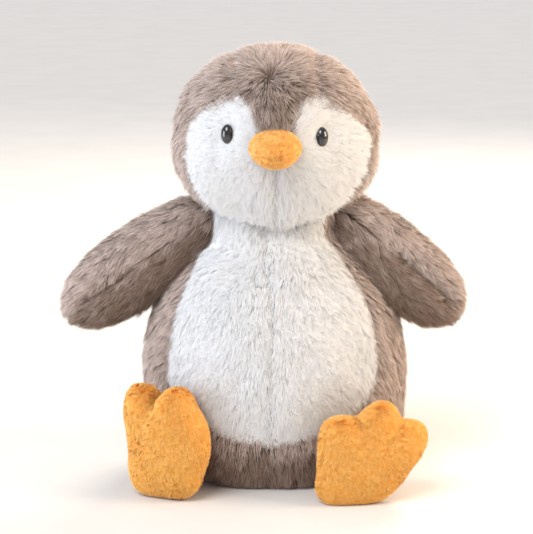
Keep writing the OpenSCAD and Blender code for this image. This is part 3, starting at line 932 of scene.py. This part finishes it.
def ankle(start, end, radius, rings=8, around=20):
    """A closed round stub from the back of a foot towards the torso."""
    start, end = np.array(start, float), np.array(end, float)
    axis = unit(end - start)
    across = unit(np.cross(axis, [0, 0, 1]))
    up = np.cross(across, axis)
    angles = np.linspace(0, 2 * math.pi, around, endpoint=False)
    ring = np.cos(angles)[:, None] * across + np.sin(angles)[:, None] * up
    points = [start + (end - start) * k / (rings - 1) + ring * radius for k in range(rings)]
    points = np.concatenate(points + [[start], [end]])
    faces = []
    for i in range(around):
        j = (i + 1) % around
        for k in range(rings - 1):
            a, b = k * around + i, k * around + j
            faces += [(a, b, b + around), (a, b + around, a + around)]
        faces.append((rings * around, j, i))
        last = (rings - 1) * around
        faces.append((rings * around + 1, last + i, last + j))
    return points, np.array(faces)


def add_feet():
    for name, foot in FEET.items():
        turn = math.radians(foot["turn"])
        place = Matrix.Translation(foot["place"]) @ Matrix.Rotation(turn, 4, "Z") @ Matrix.Rotation(
            FOOT_TILT, 4, "X")
        place = np.array(place)
        points, faces = pillow(closed_curve(foot["corners"]), FOOT_HALF_THICKNESS, around=120, power=2.6)
        stub_points, stub_faces = ankle(*foot["ankle"], ANKLE_RADIUS)
        faces = np.concatenate([faces, stub_faces + len(points)])
        points = np.concatenate([points, stub_points])
        points, faces = inflated(points, faces, 3.0, 4.0, 3)
        flat = points[:, [0, 2]]
        for a, b in foot["valleys"]:
            dip = 1.5 * bump(segment_distance(flat, a, b), 2.8)
            points[:, 1] += dip * smooth(-points[:, 1], -2, 4)
        seam = bump(points[:, 1] - 1, 1.8)
        points -= 0.6 * seam[:, None] * point_normals(points, faces)
        local = points
        points = local @ place[:3, :3].T + place[:3, 3]
        points[:, 2] = np.maximum(points[:, 2], FOOT_FLOOR_GAP)
        bend_start = place[:3, :3] @ np.array(foot["ankle"][1], float) + place[:3, 3]
        bend_end = place[:3, :3] @ np.array(FOOT_BEND_END) + place[:3, 3]
        bend = ("torso", f"foot_{name}", bend_start, bend_end)
        middle = local[faces, 1].mean(axis=1)
        brushed = place[:3, :3] @ np.array(FOOT_BRUSHED)
        for half, keep in (("sole", middle < 0), ("upper", middle >= 0)):
            own, own_faces, _ = part_of(points, faces, keep)
            skin = Skin(own, own_faces, brushed)
            plush(f"foot_{name}_{half}_plush", bend, skin, ORANGE_PILE, "orange_plush",
                  [f"foot_{name}_{half}"])
        core(f"foot_{name}_core", points, faces, FOOT_CORE_INSET, f"foot_{name}_stuffing")


# ---- Beak ----

BEAK_BACK = -50.0
BEAK_HALF_WIDTH = 14.2
BEAK_LENGTH = 18.0
BEAK_LEVEL = 183.5
BEAK_RISE = 10.6
BEAK_INSET = 0.9
BEAK_ROWS = 26
BEAK_COLUMNS = 36


def beak_point(share, roll, inset):
    """share runs from -1 to 1 across, and roll from -90 under to 90 over the beak."""
    s, r = np.broadcast_arrays(share, np.radians(roll))
    plump = (1 - np.abs(s) ** 2.2) ** 0.62
    reach = (BEAK_LENGTH - inset) * plump * np.cos(r)
    rise = (BEAK_RISE - inset) * plump * np.sin(r)
    fold = 1.3 * bump(np.degrees(r) + 14 - 10 * s * s, 9)
    droop = -2.0 * (1 - s * s) * np.cos(r) + 1.5
    return np.stack([(BEAK_HALF_WIDTH - inset) * s, BEAK_BACK - reach + fold, BEAK_LEVEL + rise + droop],
                    axis=-1)


def add_beak():
    halves = {"upper": (-13.5, 89), "lower": (-89, -14.5)}
    for half, (low, high) in halves.items():
        shares = np.sin(np.linspace(-math.pi / 2, math.pi / 2, BEAK_COLUMNS)) * 0.995
        rolls = np.linspace(low, high, BEAK_ROWS)
        points = beak_point(shares[None, :], rolls[:, None], BEAK_INSET).reshape(-1, 3)
        faces = grid_quads(BEAK_ROWS, BEAK_COLUMNS)
        if rows_dot(point_normals(points, faces), points - [0, BEAK_BACK + 4, BEAK_LEVEL]).mean() < 0:
            faces = faces[:, ::-1]
        brushed = away_from(points * [3, 1, 1], (0, -75, 181))
        skin = Skin(points, faces, brushed, length=np.full(len(points), 0.75))
        plush(f"beak_{half}_plush", "head", skin, ORANGE_PILE, "beak_plush", [f"beak_{half}"])


# ---- Eyes ----

EYE_HALF_WIDTH = 3.5
EYE_HALF_HEIGHT = 5.2
EYE_TURN = 27      # degrees out to the side
EYE_TILT = -6
EYE_SINK = 1.2


def add_eyes():
    """Each eye is a domed oval with a thin rim, and a round ribbed shank that goes into the head."""
    profile = [(0.0, 3.1), (0.25, 3.02), (0.5, 2.72), (0.72, 2.2), (0.88, 1.5), (0.97, 0.75), (1.0, 0.1),
               (0.97, -0.35), (0.6, -0.5), (0.42, -0.9)]
    for rib in range(6):
        profile += [(0.42, -1.5 - 2 * rib), (0.36, -1.8 - 2 * rib), (0.36, -2.6 - 2 * rib)]
    profile += [(0.2, -14.0), (0.0, -14.4)]
    around = 48
    for name, side in SIDES.items():
        angles = np.linspace(0, 2 * math.pi, around, endpoint=False)
        rings = []
        for radius, out in profile:
            height = EYE_HALF_HEIGHT if out > -0.6 else EYE_HALF_WIDTH
            rings.append(np.stack([EYE_HALF_WIDTH * radius * np.cos(angles), np.full(around, -out),
                                   height * radius * np.sin(angles)], axis=1))
        points = np.concatenate(rings)
        quads = []
        for k in range(len(profile) - 1):
            for i in range(around):
                j = (i + 1) % around
                quads.append((k * around + i, k * around + j, (k + 1) * around + j, (k + 1) * around + i))
        tilt = Matrix.Rotation(math.radians(EYE_TILT), 3, "X")
        turn = Matrix.Rotation(math.radians(side * EYE_TURN), 3, "Z") @ tilt
        angle, roll = EYES[name]
        seat = head_point(np.array(side * angle), np.array(roll), np.array(EYE_SINK))
        points = points @ np.array(turn).T + seat
        mesh = mesh_from(f"eye_{name}_gloss", points, np.array(quads), NO_TRIANGLES)
        mesh.materials.append(MATERIALS["eye"])
        piece = add_object(f"eye_{name}_gloss", mesh)
        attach(piece, "head")
        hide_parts(f"eye_{name}")


# ---- Seat and label ----

SEAT_HALF_LENGTHS = (54, 46)


def add_seat():
    """The flat base panel, whose edge turns up a little from the floor."""
    rings, around = 16, 72
    half_width, half_depth = SEAT_HALF_LENGTHS
    points = [(0.0, 0.0, 1.2)]
    for ring in range(1, rings + 1):
        share = ring / rings
        angle = np.linspace(0, 2 * math.pi, around, endpoint=False)
        points.extend(zip(half_width * share * np.sin(angle), -half_depth * share * np.cos(angle),
                          np.full(around, 1.0 + 1.2 * smooth(share, 0.9, 1.0))))
    faces = []
    for i in range(around):
        j = (i + 1) % around
        faces.append((0, 1 + i, 1 + j))
        for ring in range(rings - 1):
            a, b = 1 + ring * around + i, 1 + ring * around + j
            faces += [(a, a + around, b + around), (a, b + around, b)]
    points, faces = np.array(points), np.array(faces)
    if point_normals(points, faces)[:, 2].mean() > 0:
        faces = faces[:, ::-1]
    skin = Skin(points, faces, np.array([0.0, 1.0, 0.0]), length=np.full(len(points), 0.5))
    plush("seat", "torso", skin, SEAT_PILE, "grey_pile", ["base_panel"])


def add_label():
    """A blank loop of ribbon that comes out of the seam at the back of the seat."""
    low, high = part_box("care_label")
    middle = (Vector(low) + Vector(high)) / 2 / MM
    width, length, thickness = 12, 15, 0.5
    rows = 24
    outline = []
    for k in range(rows):
        turn = math.pi * 2 * k / (rows - 1) - math.pi
        lobe = math.cos(turn / 2)
        rise = 0.9 + 0.9 * math.sin(turn / 2) * (1 + lobe)
        outline.append((middle.y - 7 + length * lobe, middle.z + rise))
    outer = np.array([[x, y, z] for y, z in outline for x in (middle.x - width / 2, middle.x + width / 2)])
    faces = grid_quads(rows, 2)
    mesh = mesh_from("ribbon_loop", outer, faces, NO_TRIANGLES)
    mesh.materials.append(MATERIALS["ribbon"])
    piece = add_object("ribbon_loop", mesh)
    solid = piece.modifiers.new("thickness", "SOLIDIFY")
    solid.thickness = thickness * MM
    settle(piece)
    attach(piece, "torso")
    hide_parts("care_label")


def finish_cad_nodes():
    """Every CAD node that still shows gets its slot's material."""
    slots = {sub["node"]: sub["material_slot"] for sub in frame["record"]["subparts"]}
    for name, node in frame["nodes"].items():
        material = MATERIALS[slots[name]]
        node.data.materials.clear()
        node.data.materials.append(material)


# ---- Floor, light and camera ----

CAMERA_LENS = 150
CAMERA_DISTANCE = 1223
CAMERA_RISE = 11
CAMERA_TARGET = (-4.5, 0.0, 112.0)
LIGHT_TARGET = (0, 0, 110)
FLOOR_HALF = 20000


def aim(thing, place, target):
    """Puts a light or camera at a place, looking at a target."""
    thing.location = Vector(place) * MM
    direction = Vector(target) * MM - thing.location
    thing.rotation_euler = direction.to_track_quat("-Z", "Y").to_euler()


def add_light(name, kind, place, size, power, colour):
    """A soft light: size is an area light's side in millimetres, or a sun's spread in degrees."""
    light = bpy.data.lights.new(name, kind)
    if kind == "SUN":
        light.angle = math.radians(size)
    else:
        light.size = size * MM
    light.energy = power
    light.color = colour
    aim(add_object(name, light), place, LIGHT_TARGET)


def add_floor():
    corners = [(-1, -1, 0), (1, -1, 0), (1, 1, 0), (-1, 1, 0)]
    points = np.array(corners, float) * FLOOR_HALF
    floor_mesh = mesh_from("floor", points, np.array([[0, 1, 2, 3]]), NO_TRIANGLES)
    floor_mesh.materials.append(
        grain_material("floor", ((0.80, 0.78, 0.75), (0.83, 0.81, 0.78)), 60, 0.7, 0.0))
    floor = add_object("floor", floor_mesh)


def add_lights():
    world = bpy.data.worlds.new("studio")
    world.use_nodes = True
    background = world.node_tree.nodes["Background"]
    background.inputs["Color"].default_value = (0.95, 0.95, 1.0, 1)
    background.inputs["Strength"].default_value = 0.52
    bpy.context.scene.world = world
    bpy.context.scene.view_settings.view_transform = "Standard"
    add_light("key", "SUN", (-500, -850, 1100), 35, 1.95, (1.0, 0.985, 0.96))
    add_light("cool_side", "AREA", (-900, -400, 250), 500, 5, (0.72, 0.84, 1.0))
    add_light("warm_side", "AREA", (900, -250, 500), 500, 8, (1.0, 0.78, 0.54))
    add_light("back", "AREA", (400, 900, 800), 500, 10, (1.0, 0.86, 0.68))


def add_camera():
    rise = math.radians(CAMERA_RISE)
    target = Vector(CAMERA_TARGET)
    place = target + Vector((0, -math.cos(rise), math.sin(rise))) * CAMERA_DISTANCE
    camera = bpy.data.cameras.new("camera")
    camera.lens = CAMERA_LENS
    camera.clip_start = 0.01
    thing = add_object("camera", camera)
    aim(thing, place, target)
    bpy.context.scene.camera = thing


add_floor()
add_lights()
add_camera()
add_torso()
add_head()
add_wings()
add_feet()
add_beak()
add_eyes()
add_seat()
add_label()
finish_cad_nodes()
bpy.context.view_layer.update()
